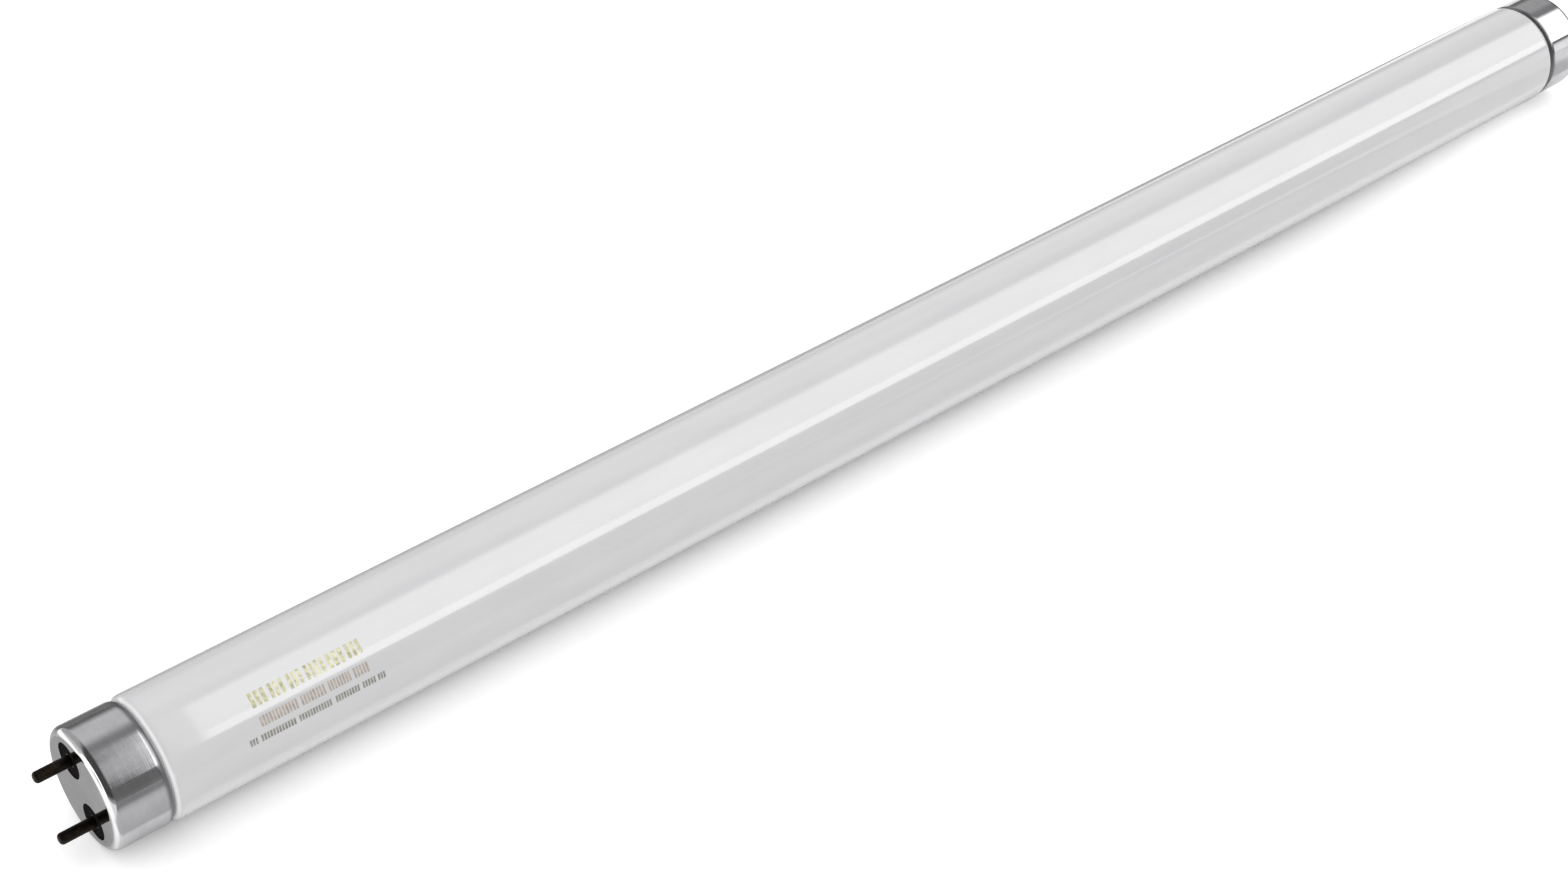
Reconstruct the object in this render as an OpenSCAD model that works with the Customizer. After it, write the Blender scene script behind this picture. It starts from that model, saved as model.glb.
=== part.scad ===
// Double-capped fluorescent tube, T8 with two-pin ends, 18 inch size.
// The lamp lies along X with its middle at the origin. Every end piece is drawn once,
// in an end frame whose Z runs outwards along the lamp and whose zero is the cap's face.

/* [Lamp] */
// Length over the two cap faces, without the pins
face_length = 437.4; // [200:0.1:1200]
// Angle of the pins' plane above the horizontal, as the lamp lies
pin_roll = 64.4; // [-90:0.1:90]

/* [Glass tube] */
// Outside diameter of the glass
glass_d = 26; // [24.5:0.1:28]
// Radius of the shoulder where the glass is drawn in to its neck
shoulder_r = 1.6; // [0.5:0.1:1.8]
// Gap between the glass shoulder and the mouth of the cap
shoulder_gap = 0.3; // [0.1:0.1:2]
// Depth of the glass rim behind the cap's face
rim_depth = 4.6; // [4.2:0.1:6]
// Radius of the melted rim where the stem is joined to the tube
rim_r = 0.7; // [0.3:0.1:1]
// Thickness of the glass at the rim
rim_wall = 2.4; // [1.6:0.1:4]
// Depth of the stem's funnel behind the rim
funnel_depth = 9; // [5:0.5:14]
// Diameter at the bottom of the funnel
funnel_floor_d = 9; // [7:0.1:12]
// Diameter of the sealed exhaust tube
exhaust_d = 3.2; // [2:0.1:4]
// Length of the exhaust tube above the funnel's floor
exhaust_length = 7.5; // [3:0.1:8.5]

/* [Cap shell] */
// How far the skirt of the shell stands in from the glass
cap_step = 0.3; // [0:0.05:0.8]
// Length of the shell along the lamp
cap_length = 12; // [10:0.1:20]
// Thickness of the aluminium
cap_wall = 0.4; // [0.25:0.05:0.6]
// Outside radius of the corner round the face
corner_r = 1.7; // [0.8:0.1:2.2]
// Radius of the roll that turns the mouth inwards
mouth_roll_r = 2.2; // [1.9:0.1:4]
// Length of that roll along the lamp
mouth_roll_length = 1.2; // [0.6:0.1:1.4]

/* [Pins] */
// Distance between the two pins' axes
pin_pitch = 12.7; // [10:0.1:13.5]
// Diameter of a pin
pin_d = 2.35; // [2.29:0.01:2.67]
// Length of a pin beyond the cap's face
pin_length = 7.1; // [6.6:0.1:7.6]
// How far the pin's root, which sits in the insulator, stands out from the pin
pin_shoulder = 0.25; // [0.2:0.05:0.6]
// Diameter of the pin's bore, which takes the lead-in wire
pin_bore_d = 1.3; // [0.9:0.1:1.6]
// Thickness of metal left at the pin's closed tip
pin_tip_wall = 1.5; // [0.8:0.1:3]
// Diameter of the riveted head behind the insulator
pin_head_d = 4.2; // [3:0.1:5]
// Thickness of the riveted head
pin_head_t = 0.6; // [0.3:0.1:1]

/* [Insulator] */
// Diameter of the round boss that shows round each pin
boss_d = 7.6; // [5:0.1:8.2]
// Depth of the boss below the cap's face
boss_recess = 0.2; // [0:0.05:0.3]
// Thickness of the plate behind the cap's face
plate_t = 2; // [1:0.1:2.5]

/* [Basing cement] */
// Thickness of the cement between the shell and the neck of the glass
cement_t = 0.7; // [0.4:0.1:1.1]
// Distance between the roll at the mouth and the cement
cement_mouth_gap = 0.2; // [0.1:0.1:2]

/* [Lead-in wires] */
// Diameter of a lead-in wire
wire_d = 0.6; // [0.3:0.1:0.8]
// Distance between the two wires where they leave the glass
wire_pitch = 6; // [4.5:0.1:7.5]
// Length of wire that runs straight out of the glass before it bends
wire_rise = 4; // [1:0.1:5]
// Diameter of the weld knot at each of the wire's two bends
wire_knot_d = 0.8; // [0.6:0.05:1.1]

/* [Hidden] */
$fn = 96;
fit_gap = 0.05;
// How far a cutting shape runs past the face that it cuts.
cut_margin = 1;
glass_r = glass_d / 2;
cap_r = glass_r - cap_step;
cap_inside_r = cap_r - cap_wall;
pin_r = pin_d / 2;
root_r = pin_r + pin_shoulder;
boss_r = boss_d / 2;
wire_r = wire_d / 2;
// The basing cement stops this far short of the rounding of the glass rim.
cement_rim_gap = 0.3;
cement_length = cap_length - mouth_roll_length - cement_mouth_gap - rim_depth - rim_r - cement_rim_gap;
neck_r = cap_inside_r - cement_t;
// Heights below are in the end frame: zero is the cap's face, and the lamp's middle lies below.
mouth_z = -cap_length;
shoulder_z = mouth_z - shoulder_gap;
rim_z = -rim_depth;
funnel_floor_z = rim_z - funnel_depth;
plate_top_z = -cap_wall;
plate_bottom_z = plate_top_z - plate_t;
plate_r = cap_inside_r - fit_gap;
plate_edge_r = corner_r - cap_wall;
head_bottom_z = plate_bottom_z - pin_head_t;
boss_top_z = -boss_recess;
bore_top_z = pin_length - pin_tip_wall;
cement_bottom_z = mouth_z + mouth_roll_length + cement_mouth_gap;
SIDES = ["left", "right"];
PLACES = ["upper", "lower"];
END_PIECES = ["cap_shell", "insulator", "cement_ring"];
PIN_PIECES = ["contact_pin", "lead_wire"];

// Puts a piece drawn in the end frame on the right or the left end of the lamp.
module at_end(side) {
    mirror([side == "left" ? 1 : 0, 0, 0])
        rotate([pin_roll, 0, 0])
        translate([face_length / 2, 0, 0])
        rotate([0, 90, 0])
        children();
}

// Where the pins stand in the end frame: the upper one is on +Y.
function pin_y(place) = (place == "upper" ? 1 : -1) * pin_pitch / 2;

// Half section of a round bar from low to high, with its top edge rounded.
module rounded_bar(r, low, high, edge_r) {
    translate([0, low]) square([r, high - low - edge_r]);
    translate([0, low]) square([r - edge_r, high - low]);
    intersection() {
        translate([r - edge_r, high - edge_r]) circle(edge_r);
        translate([0, low]) square([r, high - low]);
    }
}

// Radius at the open mouth of a wall of radius r that turns inwards over the roll's length.
function mouth_r(r, roll_r) = r - roll_r + sqrt(roll_r * roll_r - mouth_roll_length * mouth_roll_length);

// Half section of a filled cup from its rolled mouth to its top, whose edge is rounded.
module cup_section(r, high, edge_r, roll_r) {
    roll_z = mouth_z + mouth_roll_length;
    rounded_bar(r, roll_z, high, edge_r);
    translate([0, mouth_z]) square([r - roll_r, mouth_roll_length]);
    intersection() {
        translate([r - roll_r, roll_z]) circle(roll_r);
        translate([0, mouth_z]) square([r, mouth_roll_length]);
    }
}

// Half section of the whole glass, from rim to rim, about the lamp's middle.
module glass_section() {
    for (end = [0, 1])
        mirror([0, end])
        translate([0, face_length / 2]) {
            rounded_bar(glass_r, -face_length / 2 - cut_margin, shoulder_z, shoulder_r);
            rounded_bar(neck_r, shoulder_z - shoulder_r, rim_z, rim_r);
        }
}

// The stem's funnel is open towards the cap, and the sealed exhaust tube stands in it.
module stem_funnel() {
    difference() {
        rotate_extrude()
            polygon([
                [0, funnel_floor_z],
                [funnel_floor_d / 2, funnel_floor_z],
                [neck_r - rim_wall, rim_z - rim_r],
                [neck_r - rim_wall, rim_z + cut_margin],
                [0, rim_z + cut_margin]
            ]);
        translate([0, 0, funnel_floor_z - cut_margin])
            cylinder(d = exhaust_d, h = exhaust_length + cut_margin);
        translate([0, 0, funnel_floor_z + exhaust_length]) sphere(d = exhaust_d);
    }
}

// One sealed piece of glass: the tube, its two drawn-in necks and the stems joined to them.
module glass_tube() {
    color("whitesmoke")
        difference() {
            rotate([pin_roll, 0, 0]) rotate([0, 90, 0]) rotate_extrude() glass_section();
            for (side = SIDES) at_end(side) stem_funnel();
        }
}

// Aluminium cup drawn from sheet, with its mouth rolled in over the glass and two round holes
// for the bosses.
module cap_shell() {
    color("silver")
        difference() {
            rotate_extrude() cup_section(cap_r, 0, corner_r, mouth_roll_r);
            rotate_extrude() {
                cup_section(cap_inside_r, plate_top_z, plate_edge_r, mouth_roll_r - cap_wall);
                translate([0, mouth_z - cut_margin])
                    square([mouth_r(cap_inside_r, mouth_roll_r - cap_wall), 2 * cut_margin]);
            }
            for (place = PLACES)
                translate([0, pin_y(place), plate_top_z - cut_margin])
                    cylinder(r = boss_r, h = cap_wall + 2 * cut_margin);
        }
}

// Moulded plate that lies against the inside of the face, with a boss in each hole of the shell.
module insulator() {
    color("#26221f")
        difference() {
            union() {
                rotate_extrude() rounded_bar(plate_r, plate_bottom_z, plate_top_z, plate_edge_r);
                for (place = PLACES)
                    translate([0, pin_y(place), plate_bottom_z])
                        cylinder(r = boss_r - fit_gap, h = boss_top_z - plate_bottom_z);
            }
            for (place = PLACES)
                translate([0, pin_y(place), plate_bottom_z - cut_margin])
                    cylinder(r = root_r, h = 2 * cut_margin - plate_bottom_z);
        }
}

// Hollow pin with a closed, rounded tip. Its thicker root sits in the insulator, and its
// riveted head lies behind the plate.
module contact_pin(place) {
    color("#4a4038")
        translate([0, pin_y(place), 0])
        difference() {
            union() {
                rotate_extrude() rounded_bar(pin_r, head_bottom_z, pin_length, pin_r * 0.6);
                translate([0, 0, head_bottom_z]) cylinder(r = root_r, h = boss_top_z - head_bottom_z);
                translate([0, 0, head_bottom_z]) cylinder(d = pin_head_d, h = pin_head_t);
            }
            translate([0, 0, head_bottom_z - cut_margin])
                cylinder(d = pin_bore_d, h = bore_top_z - head_bottom_z + cut_margin);
        }
}

// Wire from the glass to the pin's tip: straight out of the glass, across, and up the pin's bore.
module lead_wire(place) {
    across = (pin_pitch - wire_pitch) / 2;
    along = head_bottom_z - wire_knot_d - funnel_floor_z - wire_rise;
    color("gray")
        mirror([0, place == "lower" ? 1 : 0, 0]) {
            translate([0, wire_pitch / 2, funnel_floor_z]) {
                cylinder(r = wire_r, h = wire_rise);
                translate([0, 0, wire_rise]) {
                    sphere(d = wire_knot_d);
                    rotate([-atan2(across, along), 0, 0]) cylinder(r = wire_r, h = norm([across, along]));
                }
            }
            translate([0, pin_pitch / 2, head_bottom_z - wire_knot_d]) {
                sphere(d = wire_knot_d);
                cylinder(r = wire_r, h = bore_top_z - head_bottom_z + wire_knot_d);
            }
        }
}

// Ring of basing cement that holds the shell on the neck of the glass.
module cement_ring() {
    color("tan")
        translate([0, 0, cement_bottom_z])
        difference() {
            cylinder(r = cap_inside_r, h = cement_length);
            translate([0, 0, -cut_margin]) cylinder(r = neck_r, h = cement_length + 2 * cut_margin);
        }
}

glass_tube();
for (side = SIDES) {
    at_end(side) cap_shell();
    at_end(side) insulator();
    at_end(side) cement_ring();
    for (place = PLACES) {
        at_end(side) contact_pin(place);
        at_end(side) lead_wire(place);
    }
}
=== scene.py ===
"""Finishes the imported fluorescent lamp: glass, caps, pins, print, camera and studio."""

import bpy
import numpy as np
from mathutils import Matrix, Vector


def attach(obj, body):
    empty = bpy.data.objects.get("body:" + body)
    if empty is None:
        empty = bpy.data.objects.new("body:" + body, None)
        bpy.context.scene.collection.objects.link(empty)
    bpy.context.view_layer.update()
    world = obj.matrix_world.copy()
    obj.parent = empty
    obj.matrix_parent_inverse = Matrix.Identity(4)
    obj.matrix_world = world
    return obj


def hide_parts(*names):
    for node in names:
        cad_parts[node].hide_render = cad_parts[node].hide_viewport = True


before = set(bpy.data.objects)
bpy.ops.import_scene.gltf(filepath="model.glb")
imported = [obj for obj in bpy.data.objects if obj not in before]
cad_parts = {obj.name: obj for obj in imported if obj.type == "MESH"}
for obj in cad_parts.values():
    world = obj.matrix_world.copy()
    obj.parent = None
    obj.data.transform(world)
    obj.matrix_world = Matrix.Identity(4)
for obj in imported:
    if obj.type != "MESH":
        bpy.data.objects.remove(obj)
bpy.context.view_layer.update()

MM = 0.001

# Sizes of the lamp in millimetres, as the solids have them. X runs along the lamp. The depths of
# the shoulder and the rim are measured from a cap's face inwards, and the funnel's from the rim.
FACE_X = 218.7
GLASS_R = 13.0
SHOULDER_R = 1.6
SHOULDER_DEPTH = 12.3
NECK_R = 11.6
RIM_DEPTH = 4.6
RIM_R = 0.7
RIM_WALL = 2.4
FUNNEL_DEPTH = 9.0
FUNNEL_FLOOR_R = 4.5
EXHAUST_R = 1.6
EXHAUST_LENGTH = 7.5
FLOOR_Z = -13.02


# Shader maths.


class Signal:
    """A value on a shader socket. Arithmetic on it adds the Math node that works it out."""

    def __init__(self, shader, socket):
        self.shader = shader
        self.socket = socket

    def math(self, operation, *others):
        node = self.shader.tree.nodes.new("ShaderNodeMath")
        node.operation = operation
        for socket, value in zip(node.inputs, (self, *others)):
            self.shader.feed(socket, value)
        return Signal(self.shader, node.outputs[0])

    def flipped(self, operation, other):
        return self.shader.number(other).math(operation, self)

    def __add__(self, other):
        return self.math("ADD", other)

    def __sub__(self, other):
        return self.math("SUBTRACT", other)

    def __mul__(self, other):
        return self.math("MULTIPLY", other)

    def __pow__(self, other):
        return self.math("POWER", other)

    def __radd__(self, other):
        return self.flipped("ADD", other)

    def __rsub__(self, other):
        return self.flipped("SUBTRACT", other)

    def __rmul__(self, other):
        return self.flipped("MULTIPLY", other)

    def __neg__(self):
        return self.math("MULTIPLY", -1.0)

    def __abs__(self):
        return self.math("ABSOLUTE")

    def step(self, low, high):
        """0 below low, 1 above high, and a smooth S-curve between them."""
        return self.shader.node(
            "ShaderNodeMapRange",
            {"interpolation_type": "SMOOTHSTEP"},
            {"Value": self, "From Min": low, "From Max": high, "To Min": 0.0, "To Max": 1.0},
        )

    def band(self, rise, fall):
        """1 from the end of the rise to the start of the fall, 0 outside, smooth in both."""
        return self.step(*rise) * (1.0 - self.step(*fall))


class Shader:
    """The node tree of a material or of the world, built from Python values."""

    def __init__(self, tree):
        self.tree = tree
        tree.nodes.clear()

    def feed(self, socket, value):
        if isinstance(value, Signal):
            self.tree.links.new(value.socket, socket)
        else:
            socket.default_value = value

    def number(self, value):
        node = self.tree.nodes.new("ShaderNodeValue")
        node.outputs[0].default_value = value
        return Signal(self, node.outputs[0])

    def node(self, kind, settings=None, values=None, output=0):
        """A node of that kind with its settings made first and its sockets fed after."""
        node = self.tree.nodes.new(kind)
        for name, value in (settings or {}).items():
            setattr(node, name, value)
        for name, value in (values or {}).items():
            self.feed(node.inputs[name], value)
        return Signal(self, node.outputs[output])

    def mix(self, factor, low, high):
        """The colour low where factor is 0, high where it is 1."""
        node = self.tree.nodes.new("ShaderNodeMix")
        node.data_type = "RGBA"
        colors = [s for s in node.inputs if s.type == "RGBA"]
        self.feed(next(s for s in node.inputs if s.type == "VALUE"), factor)
        self.feed(colors[0], low)
        self.feed(colors[1], high)
        return Signal(self, next(s for s in node.outputs if s.type == "RGBA"))

    def split(self, vector):
        """The x, y and z of a vector."""
        node = self.tree.nodes.new("ShaderNodeSeparateXYZ")
        self.feed(node.inputs[0], vector)
        return [Signal(self, socket) for socket in node.outputs]

    def join(self, x, y, z):
        return self.node("ShaderNodeCombineXYZ", None, {"X": x, "Y": y, "Z": z})

    def place(self):
        """The object's own coordinates in metres."""
        return self.node("ShaderNodeTexCoord", output="Object")

    def depth(self, x):
        """Depth in metres from the nearer cap's face, at x along the lamp."""
        return FACE_X * MM - abs(x)

    def noise(self, vector, scale, detail=2.0):
        """Cloudy noise from 0 to 1 at that many waves a metre."""
        return self.node("ShaderNodeTexNoise", None, {"Vector": vector, "Scale": scale, "Detail": detail})

    def bump(self, height, distance, strength):
        return self.node(
            "ShaderNodeBump", None, {"Strength": strength, "Distance": distance, "Height": height}
        )

    def light_path(self, name):
        return self.node("ShaderNodeLightPath", output=name)

    def principled(self, values):
        self.end(self.node("ShaderNodeBsdfPrincipled", None, values))

    def end(self, shader, kind="ShaderNodeOutputMaterial"):
        self.feed(self.tree.nodes.new(kind).inputs["Surface"], shader)


def material(name):
    m = bpy.data.materials.new(name)
    m.use_nodes = True
    return m, Shader(m.node_tree)


def rgb(r, g, b):
    return (r, g, b, 1.0)


def opal_glass():
    """Clear glass wall over a white powder coat, which is very slightly cloudy.

    Seen edge on, the powder is painted paler towards the outline, a painted sheen for the clear glass
    in front of it, and a painted highlight, for the thicker glass of the shoulder, makes a pale ring
    beside the cap.
    """
    m, s = material("opal_glass")
    vector = s.place()
    x, y, z = s.split(vector)
    cloud = s.noise(s.join(x * 0.25, y, z), 220.0, 3.0)
    fine = s.noise(vector, 5200.0, 1.0)
    shade = (cloud * 0.8 + fine * 0.2).step(0.3, 0.7)
    # Painted sheen: the powder's colour is painted paler where the surface is seen edge on.
    wall = s.node("ShaderNodeLayerWeight", None, {"Blend": 0.5}, output="Facing").step(0.42, 0.72)
    # Painted highlight: the glass within 12.7 mm of each cap's face, its shoulder beside the cap, is
    # painted near white.
    shoulder = 1.0 - s.depth(x).step(0.0127, 0.0133)
    powder = s.mix(shade, rgb(0.612, 0.612, 0.618), rgb(0.636, 0.636, 0.639))
    powder = s.mix(wall * 0.7, powder, rgb(0.80, 0.80, 0.805))
    powder = s.mix(shoulder, powder, rgb(0.95, 0.95, 0.955))
    ripple = s.noise(s.join(x * 0.1, y, z), 90.0, 1.0)
    s.principled(
        {
            "Base Color": powder,
            "Roughness": 0.11 + cloud * 0.04,
            "IOR": 1.5,
            "Coat Weight": 1.0,
            "Coat Roughness": 0.02,
            "Coat IOR": 1.5,
            "Coat Tint": rgb(0.97, 0.97, 0.975),
            "Normal": s.bump(ripple, 0.0004, 0.02),
        }
    )
    return m


def satin_aluminium():
    """Drawn aluminium: grey metal with fine lines that run round the cap, and soft blotches.

    The shell is rougher where its mouth is rolled in on the glass, and its colour is darkened there as
    painted shade;
    the rounded corner round its face is painted near white as a painted highlight.
    """
    m, s = material("satin_aluminium")
    vector = s.place()
    x, y, z = s.split(vector)
    radius = (y * y + z * z) ** 0.5
    lines = s.noise(s.join(x, radius, 0.0), 9000.0)
    blotch = s.noise(vector, 260.0, 3.0)
    worn = (lines * 0.45 + blotch * 0.55).step(0.3, 0.72)
    depth = s.depth(x)
    # Painted shade: the colour is darkened on the rolled mouth, which is also made rougher.
    rolled = depth.step(0.0105, 0.0115)
    # Painted highlight: the rounded corner round the face is painted near white.
    corner = (1.0 - depth.step(0.0005, 0.0008)) * radius.step(0.0111, 0.0114)
    color = s.mix(worn, rgb(0.57, 0.57, 0.585), rgb(0.68, 0.68, 0.695))
    color = s.mix(corner, color, rgb(0.95, 0.95, 0.955))
    s.principled(
        {
            "Base Color": s.mix(rolled * (0.65 + blotch * 0.2), color, rgb(0.11, 0.11, 0.115)),
            "Metallic": 1.0,
            "Roughness": 0.035 + blotch * 0.04 + lines * 0.04 + rolled * 0.25,
            "Normal": s.bump(lines, 0.00004, 0.015),
        }
    )
    return m


def plain_finish(
    name, dark, light, scale, roughness, metallic=0.0, grain_height=0.00002, grain_share=0.5, specular=0.5
):
    """A finish that drifts between two colours, with small grains that also roughen it."""
    m, s = material(name)
    vector = s.place()
    drift = s.noise(vector, scale, 3.0)
    grain = s.noise(vector, scale * 9.0)
    mask = (drift * (1.0 - grain_share) + grain * grain_share).step(0.32, 0.68)
    s.principled(
        {
            "Base Color": s.mix(mask, rgb(*dark), rgb(*light)),
            "Metallic": metallic,
            "Roughness": roughness + grain * 0.12,
            "Specular IOR Level": specular,
            "Normal": s.bump(grain, grain_height, 0.35),
        }
    )
    return m


def printed_ink(name, dark, light, scale):
    """Slightly patchy ink with the gloss of the glass it was fired on."""
    return plain_finish(name, dark, light, scale, 0.3, grain_height=0.000002, grain_share=0.35)


# Pieces.


def mesh_piece(name, points, grids, finish, smooth):
    """A mesh from whole arrays: points in millimetres (n, 3) and lists of faces (m, 3 or 4)."""
    mesh = bpy.data.meshes.new(name)
    mesh.from_pydata((points * MM).tolist(), [], [face for grid in grids for face in grid.tolist()])
    mesh.polygons.foreach_set("use_smooth", np.full(len(mesh.polygons), smooth))
    mesh.materials.append(finish)
    mesh.update()
    piece = bpy.data.objects.new(name, mesh)
    bpy.context.scene.collection.objects.link(piece)
    return piece


def quads(*corners):
    """Faces (m, 4) from four equal arrays of point numbers, one for each corner."""
    return np.stack(corners, -1).reshape(-1, 4)


def revolved(name, profile, finish, around=192):
    """Surface of revolution about X: point (x, r) of the profile goes to (x, r cos a, r sin a).

    The profile starts and ends on the axis, so both poles are single points with a fan round each.
    """
    a = np.linspace(0.0, 2.0 * np.pi, around, endpoint=False)
    x, r = profile[1:-1, 0, None], profile[1:-1, 1, None]
    rings = np.stack(np.broadcast_arrays(x, r * np.cos(a), r * np.sin(a)), -1).reshape(-1, 3)
    poles = np.array([[profile[0, 0], 0.0, 0.0], [profile[-1, 0], 0.0, 0.0]])
    number = np.arange(len(rings)).reshape(-1, around)
    ahead = np.roll(number, -1, axis=1)
    pole = np.full(around, len(rings))
    grids = [
        quads(number[:-1], number[1:], ahead[1:], ahead[:-1]),
        np.stack([number[0], ahead[0], pole], -1),
        np.stack([ahead[-1], number[-1], pole + 1], -1),
    ]
    return mesh_piece(name, np.concatenate([rings, poles]), grids, finish, smooth=True)


def arc(center, radius, start, stop, count):
    """Points (x, r) on a circle round center, from angle start to stop in degrees."""
    t = np.radians(np.linspace(start, stop, count))
    return np.stack([center[0] + radius * np.cos(t), center[1] + radius * np.sin(t)], -1)


def glass_profile():
    """Half section (x, r) of the sealed glass, from one stem's tip to the other's.

    It runs over the exhaust tube in its funnel, the melted rim, the neck, the quarter-round
    shoulder and the straight barrel, and then the same mirrored. Sharp corners have two points
    close together, so that the smooth shading stays tight there.
    """
    rim = FACE_X - RIM_DEPTH
    bottom = rim - FUNNEL_DEPTH
    shoulder = FACE_X - SHOULDER_DEPTH
    lip_r = NECK_R - RIM_WALL
    shoulder_center = (shoulder - SHOULDER_R, GLASS_R - SHOULDER_R)
    shoulder_foot = np.degrees(np.arcsin((NECK_R - shoulder_center[1]) / SHOULDER_R))
    one_end = np.concatenate(
        [
            arc((bottom + EXHAUST_LENGTH, 0.0), EXHAUST_R, 0.0, 90.0, 9),
            [[bottom + 0.1, EXHAUST_R], [bottom, EXHAUST_R + 0.1]],
            [[bottom, FUNNEL_FLOOR_R - 0.1], [bottom + 0.1, FUNNEL_FLOOR_R]],
            [[rim - RIM_R, lip_r - 0.1], [rim - 0.15, lip_r], [rim, lip_r + 0.15]],
            arc((rim - RIM_R, NECK_R - RIM_R), RIM_R, 0.0, 90.0, 9),
            [[shoulder + 0.35, NECK_R], [shoulder + 0.05, NECK_R]],
            arc(shoulder_center, SHOULDER_R, shoulder_foot, 90.0, 22),
        ]
    )
    barrel = np.linspace(one_end[-1, 0], -one_end[-1, 0], 41)[1:-1]
    middle = np.stack([barrel, np.full_like(barrel, GLASS_R)], -1)
    other_end = one_end[::-1] * [-1.0, 1.0]
    return np.concatenate([one_end, middle, other_end])


def ticks(width, gap, *groups):
    """Spans along X of even ticks, as many as fit in each group from its start to its end."""
    spans = []
    for start, end in groups:
        count = max(1, round((end - start + gap) / (width + gap)))
        pitch = (end - start + gap) / count
        spans += [(start + i * pitch, start + (i + 1) * pitch - gap) for i in range(count)]
    return np.array(spans)


def printed_marks(name, angles, spans, finish, around=9):
    """One thin closed slab on the barrel for each span of X, between the two angles.

    The point at (x, a, r) is (x, -r sin a, r cos a). Each slab runs from just under the glass
    surface, r low, to just over it, r high, and its six sides are grids of the same points,
    numbered by slab, end, place round the barrel, and low or high.
    """
    low, high = GLASS_R - 0.02, GLASS_R + 0.012
    x = spans[:, :, None, None]
    a = np.radians(np.linspace(angles[0], angles[1], around))[:, None]
    r = np.array([low, high])
    points = np.stack(np.broadcast_arrays(x, -r * np.sin(a), r * np.cos(a)), -1)
    number = np.arange(points[..., 0].size).reshape(points.shape[:-1])
    start, end = number[:, 0], number[:, 1]
    grids = [
        quads(start[:, :-1, 0], end[:, :-1, 0], end[:, 1:, 0], start[:, 1:, 0]),
        quads(start[:, :-1, 1], start[:, 1:, 1], end[:, 1:, 1], end[:, :-1, 1]),
        quads(start[:, :-1, 0], start[:, 1:, 0], start[:, 1:, 1], start[:, :-1, 1]),
        quads(end[:, :-1, 0], end[:, :-1, 1], end[:, 1:, 1], end[:, 1:, 0]),
        quads(start[:, 0, 0], start[:, 0, 1], end[:, 0, 1], end[:, 0, 0]),
        quads(start[:, -1, 0], end[:, -1, 0], end[:, -1, 1], start[:, -1, 1]),
    ]
    return mesh_piece(name, points.reshape(-1, 3), grids, finish, smooth=False)


# Finishes on the pieces.

opal = opal_glass()
FINISHES = {
    "glass_tube": opal,
    "cap_shell": satin_aluminium(),
    "insulator": plain_finish(
        "black_phenolic", (0.006, 0.005, 0.005), (0.014, 0.012, 0.011), 700.0, 0.5, specular=0.01
    ),
    "cement_ring": plain_finish("basing_cement", (0.36, 0.28, 0.18), (0.52, 0.43, 0.3), 900.0, 0.85),
    "contact_pin": plain_finish(
        "tarnished_brass", (0.012, 0.010, 0.008), (0.04, 0.032, 0.024), 500.0, 0.38, metallic=1.0
    ),
    "lead_wire": plain_finish(
        "nickel_wire", (0.42, 0.41, 0.39), (0.6, 0.59, 0.57), 800.0, 0.3, metallic=1.0
    ),
}
for name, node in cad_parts.items():
    finish = next(f for start, f in FINISHES.items() if name.startswith(start))
    node.data.materials.clear()
    node.data.materials.append(finish)

glass = revolved("glass_envelope", glass_profile(), opal)
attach(glass, "root")
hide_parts("glass_tube")

# Rows of plain ticks fired on the glass, in groups given as (start, end) along X. Each row lies
# between two angles from straight up towards -Y, in degrees.
PRINT_ROWS = {
    "upper": (
        (36.5, 49.5),
        ticks(
            0.7, 0.42,
            (-187.2, -183.9), (-183.0, -180.0), (-179.0, -176.1), (-175.2, -171.2), (-170.4, -167.0),
            (-166.2, -163.2),
        ),
        printed_ink("gold_ink", (0.34, 0.33, 0.18), (0.78, 0.76, 0.53), 900.0),
    ),
    "middle": (
        (57.5, 66.5),
        ticks(0.42, 0.25, (-187.0, -179.0), (-178.2, -173.0), (-172.2, -167.4), (-166.6, -163.4)),
        printed_ink("taupe_ink", (0.33, 0.28, 0.24), (0.50, 0.44, 0.39), 1100.0),
    ),
    "lower": (
        (72.5, 78.5),
        ticks(
            0.42, 0.2,
            (-190.2, -188.6), (-187.8, -180.4), (-179.6, -172.6), (-171.6, -166.4), (-165.6, -162.8),
            (-162.2, -160.6),
        ),
        printed_ink("grey_ink", (0.19, 0.185, 0.16), (0.34, 0.325, 0.29), 1200.0),
    ),
}
for row, (angles, spans, ink) in PRINT_ROWS.items():
    marks = printed_marks(f"print_row_{row}", angles, spans, ink)
    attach(marks, "root")


# Studio.


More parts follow.
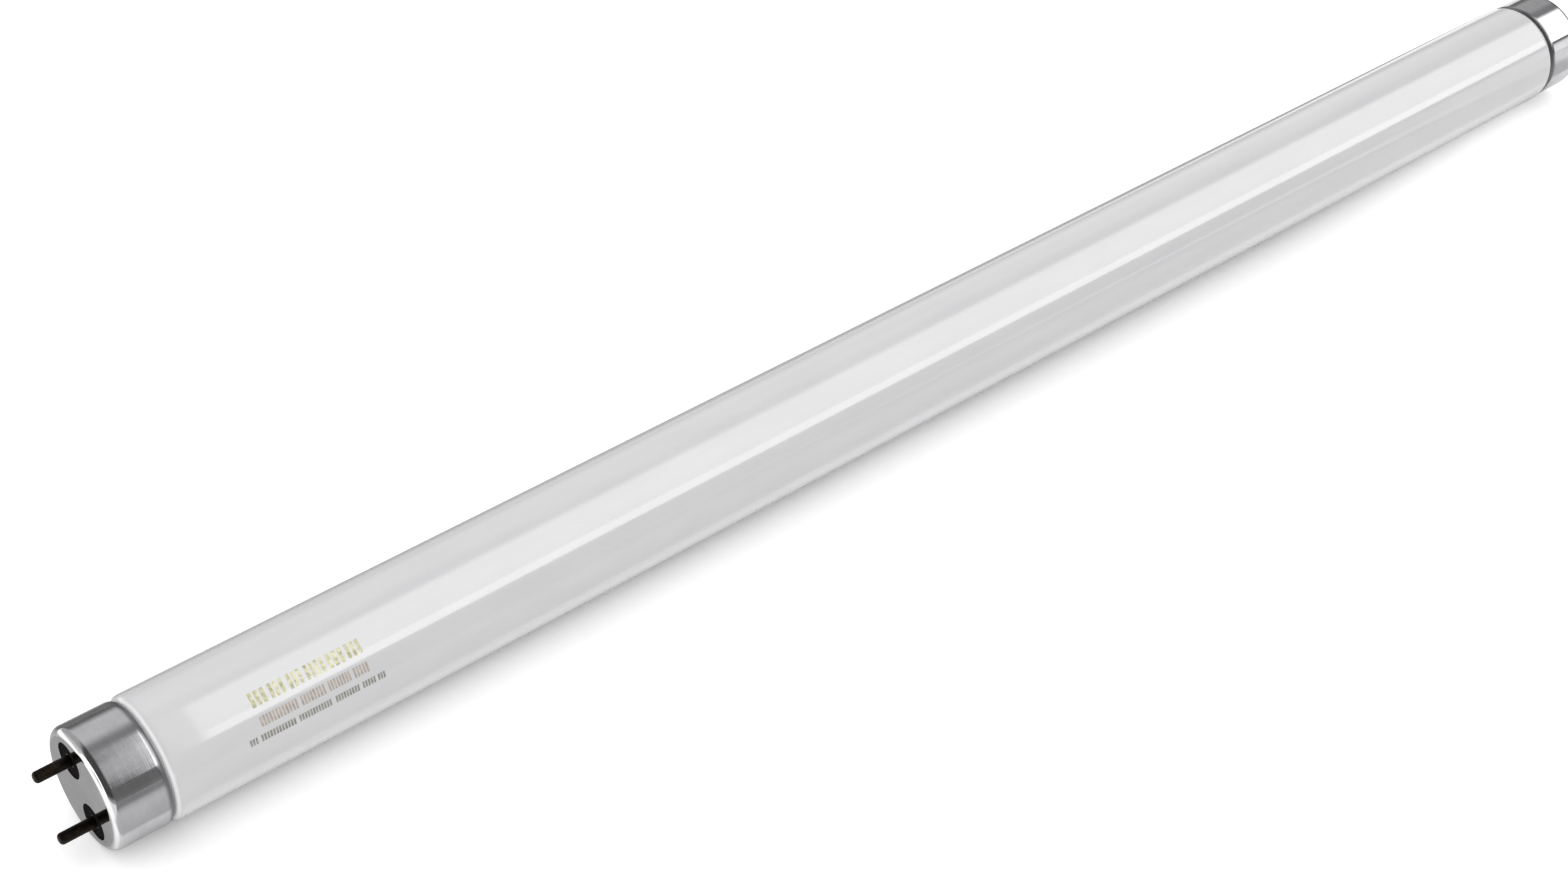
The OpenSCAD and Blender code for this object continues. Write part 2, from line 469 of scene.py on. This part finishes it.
def floor():
    """A plain pale floor, which the camera sees brighter, as an overexposed white sweep.

    In the lamp's gloss it is painted darker behind the lamp and far in front of it, as painted shade
    where the studio falls off, and a painted glow that only the camera sees makes the sweep brighter
    past the lamp's ends, which lightens the lamp's shadow there.
    """
    m, s = material("pale_floor")
    camera_ray = s.light_path("Is Camera Ray")
    vector = s.place()
    x, y, _ = s.split(vector)
    behind = y.step(0.0, 0.02) * 0.2 + y.step(0.02, 0.09) * 0.3
    ahead = (1.0 - y.step(-0.13, -0.04)) * 0.4 - y.band((-0.0185, -0.0155), (-0.008, -0.004)) * 0.4
    beside = x.band((-0.245, -0.232), (0.235, 0.26))
    # Painted shade: beside the lamp, glossy rays see the floor darker, most of all behind it and far in
    # front of it, and not at all in a strip just in front of it.
    darkening = s.light_path("Is Glossy Ray") * (0.4 + behind + ahead) * beside
    paper = s.mix(s.noise(vector, 40.0), rgb(0.91, 0.91, 0.91), rgb(0.93, 0.93, 0.93))
    paper = s.mix(darkening, paper, rgb(0.10, 0.10, 0.10))
    paper = s.mix(camera_ray, paper, rgb(0.98, 0.98, 0.98))
    base = s.node("ShaderNodeBsdfDiffuse", None, {"Color": paper})
    # Painted light: a glow past the lamp's ends that only the camera sees, which lightens the lamp's
    # shadow there.
    ends = x.step(0.1, 0.21) * 0.22 + (1.0 - x.step(-0.222, -0.2)) * 0.1
    glow = s.node("ShaderNodeEmission", None, {"Strength": camera_ray * (0.12 + ends)})
    s.end(s.node("ShaderNodeAddShader", None, {0: base, 1: glow}))
    corners = np.array([[-1.0, -1.0, 0.0], [1.0, -1.0, 0.0], [1.0, 1.0, 0.0], [-1.0, 1.0, 0.0]])
    points = corners * 3000.0 + [0.0, 0.0, FLOOR_Z]
    mesh_piece("floor", points, [np.array([[0, 1, 2, 3]])], m, smooth=False)


def studio_world():
    """White to the camera, even light on the object, and a long overhead softbox in its gloss.

    What a glossy ray sees depends on its angle about X, in degrees from straight up towards -Y,
    and on x, the share of it that points along the lamp. The softbox runs along the lamp, ends
    before the near cap and is brightest at its edge. Paler bands lie behind it, in its middle and
    in front of it. A dark flag hangs beyond the near cap, a white card stands past it, and what
    lies beyond the far end is half bright.
    """
    world = bpy.data.worlds.new("studio")
    bpy.context.scene.world = world
    world.use_nodes = True
    s = Shader(world.node_tree)
    x, y, z = s.split(s.node("ShaderNodeTexCoord", output="Generated"))
    angle = (-y).math("ARCTAN2", z) * (180.0 / np.pi)
    near, far = x.step(-0.05, 0.15), x.step(0.7, 0.76)
    box = angle.band((-8.0, 4.0), (63.5, 65.5)) * x.step(0.273, 0.284)
    edge = angle.band((49.0, 52.0), (63.5, 65.5)) * x.step(0.28, 0.29)
    back = (0.52 - 0.24 * far) * angle.band((-82.0, -62.0), (-34.0, -8.0))
    streak = angle.band((12.0, 26.0), (38.0, 56.0))
    middle = 0.13 * angle.band((-22.0, -4.0), (50.0, 60.0)) + 0.14 * streak
    front = 0.1 * angle.step(80.0, 94.0) + far * angle.step(68.0, 76.0)
    bands = (0.12 + back + middle + front + box * 1.7 + edge * 1.3) * near
    flag = angle.band((-40.0, -15.0), (75.0, 90.0))
    fill = (0.02 + 0.43 * (1.0 - flag)) * (1.0 - near)
    card = (0.4 + 1.2 * x.step(-0.962, -0.945)) * (1.0 - x.step(-0.92, -0.84))
    beyond = 0.5 * x.step(0.9, 0.97)
    gloss = 0.06 + bands * (1.0 - x.step(0.8, 0.86)) + fill + card + beyond
    glossy_ray = s.light_path("Is Glossy Ray").math("MAXIMUM", s.light_path("Is Transmission Ray"))
    camera_ray = s.light_path("Is Camera Ray")
    level = 0.93 * (1.0 - glossy_ray) + gloss * glossy_ray
    level = level * (1.0 - camera_ray) + camera_ray
    s.end(
        s.node("ShaderNodeBackground", None, {"Color": rgb(1.0, 1.0, 1.0), "Strength": level}),
        "ShaderNodeOutputWorld",
    )


def aimed(name, data, place, look):
    """A lamp or camera at a place in millimetres, pointing along look with no roll."""
    item = bpy.data.objects.new(name, data)
    bpy.context.scene.collection.objects.link(item)
    turn = Vector(look).to_track_quat("-Z", "Y").to_matrix().to_4x4()
    item.matrix_world = Matrix.Translation(Vector(place) * MM) @ turn
    return item


def overhead_lamp():
    """A large square area lamp over the near end, for the soft shadow under the glass."""
    data = bpy.data.lights.new("overhead_lamp", "AREA")
    data.shape = "SQUARE"
    data.size = 1100 * MM
    data.energy = 2.0
    lamp = aimed("overhead_lamp", data, (-60, -120, 700), (60, 120, -700))
    lamp.visible_glossy = False


def camera():
    """The photograph's viewpoint: near the left end, looking down along the lamp."""
    data = bpy.data.cameras.new("camera")
    data.sensor_fit = "HORIZONTAL"
    data.sensor_width = 36.0
    data.lens = 59.2556
    data.clip_start = 0.01
    data.clip_end = 50.0
    place = (-339.389, -338.524, 336.771)
    look = (0.51669195, 0.60422247, -0.6065844)
    bpy.context.scene.camera = aimed("camera", data, place, look)


floor()
studio_world()
overhead_lamp()
camera()
bpy.context.scene.view_settings.view_transform = "Standard"
